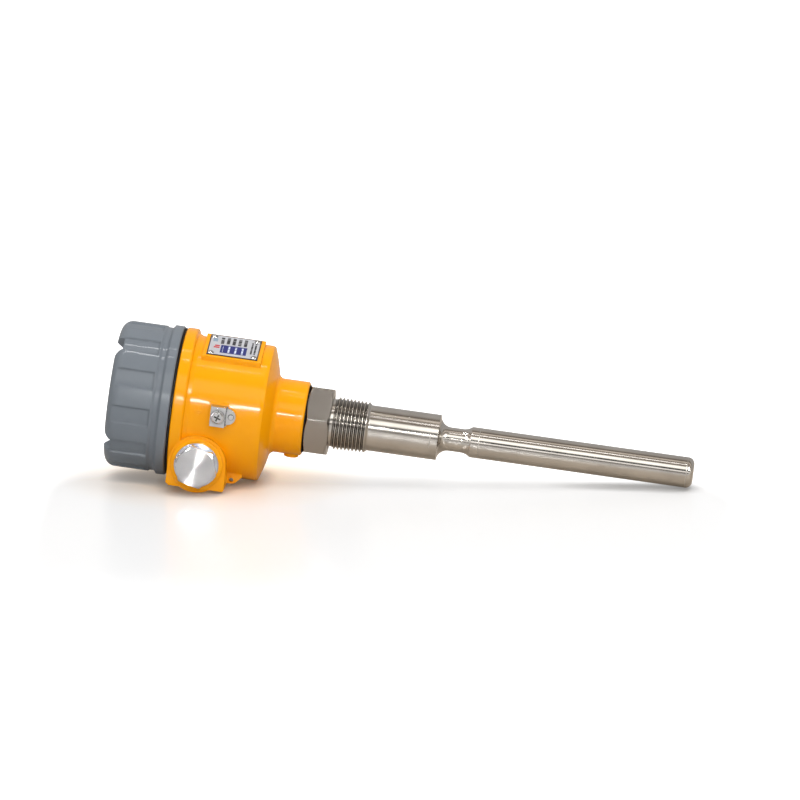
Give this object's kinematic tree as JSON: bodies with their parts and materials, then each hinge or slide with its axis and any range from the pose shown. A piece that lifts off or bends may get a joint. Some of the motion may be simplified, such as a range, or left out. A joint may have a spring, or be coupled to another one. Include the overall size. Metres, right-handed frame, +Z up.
{
  "type": "vibrating rod level switch",
  "caption": "Level switch with a round vibrating rod on a screwed steel process connection, a cast terminal housing with a screwed cover, a plugged and an open cable entry.",
  "frame": {"origin": "centre of the hexagon's face that seats on the vessel socket, at the start of the process thread", "axes": "+X along the sensor axis towards the rod tip, +Z up with the cable entries low, +Y away from the side with the closing plug"},
  "size_m": [0.3658, 0.1005, 0.0938],
  "materials": {
    "housing_paint": "glossy orange coating on cast aluminium",
    "cover_paint": "semi-gloss grey coating on cast aluminium",
    "seal_rubber": "matt black",
    "plate_aluminium": "printed and anodised sheet",
    "terminal_steel": "plated",
    "plug_aluminium": "turned, nickel plated",
    "stainless": "turned and polished stainless steel",
    "screw_steel": "plated",
    "piezo_ceramic": "fired ceramic",
    "electrode_brass": "rolled",
    "lead_sheath": "matt sheath",
    "module_plastic": "potted module, black",
    "terminal_plastic": "green moulding",
    "trimmer_plastic": "blue moulding",
    "light_plastic": "cream moulding",
    "switch_plastic": "black moulding",
    "lamp_plastic": "clear green moulding"
  },
  "bodies": {
    "sensor": {"process_connection": "stainless", "vibrating_rod": "stainless", "rod_tip_plug": "stainless", "inner_resonator": "stainless", "stack_bolt": "screw_steel", "piezo_rings": "piezo_ceramic", "electrode_rings": "electrode_brass", "insulating_rings": "piezo_ceramic", "stack_nut": "screw_steel", "sensor_lead": "lead_sheath", "retaining_ring": "screw_steel", "neck_gasket": "seal_rubber"},
    "housing": {"housing": "housing_paint", "nameplate": "plate_aluminium", "nameplate_rivets": "plate_aluminium", "earth_base_plate": "terminal_steel", "earth_clamp": "terminal_steel", "earth_spring_washer": "screw_steel", "earth_screw": "terminal_steel", "entry_plug": "plug_aluminium", "entry_plug_washer": "plug_aluminium", "neck_set_screw": "screw_steel", "electronics_module": "module_plastic", "module_screws": "screw_steel", "terminal_block": "terminal_plastic", "terminal_screws": "screw_steel", "sensitivity_trimmer": "trimmer_plastic", "mode_switch": "switch_plastic", "indicator_led": "lamp_plastic", "inner_earth_screw": "electrode_brass", "inner_earth_washer": "terminal_steel"},
    "cover_seal": {"cover_seal_ring": "seal_rubber"},
    "cover": {"cover": "cover_paint"},
    "trimmer_rotor": {"trimmer_rotor": "light_plastic"},
    "mode_slider": {"mode_slider": "light_plastic"}
  },
  "joints": [
    {"name": "housing_swivel", "type": "hinge", "parent": "sensor", "child": "housing", "pos_m": [0, 0, 0], "axis": [1, 0, 0], "range_deg": [-160, 160]},
    {"name": "cover_travel", "type": "slide", "parent": "housing", "child": "cover_seal", "axis": [-1, 0, 0], "range_m": [0, 0.0121]},
    {"name": "cover_turn", "type": "hinge", "parent": "cover_seal", "child": "cover", "pos_m": [-0.118, 0, 0], "axis": [-1, 0, 0], "range_deg": [0, 2160]},
    {"name": "sensitivity_turn", "type": "hinge", "parent": "housing", "child": "trimmer_rotor", "pos_m": [-0.0695, -0.012, -0.013], "axis": [-1, 0, 0], "range_deg": [0, 270]},
    {"name": "mode_slide", "type": "slide", "parent": "housing", "child": "mode_slider", "axis": [0, 1, 0], "range_m": [0, 0.0026]}
  ],
  "couplings": [
    {"joint": "cover_travel", "follows": "cover_turn", "m_per_rad": 0.00031831}
  ]
}
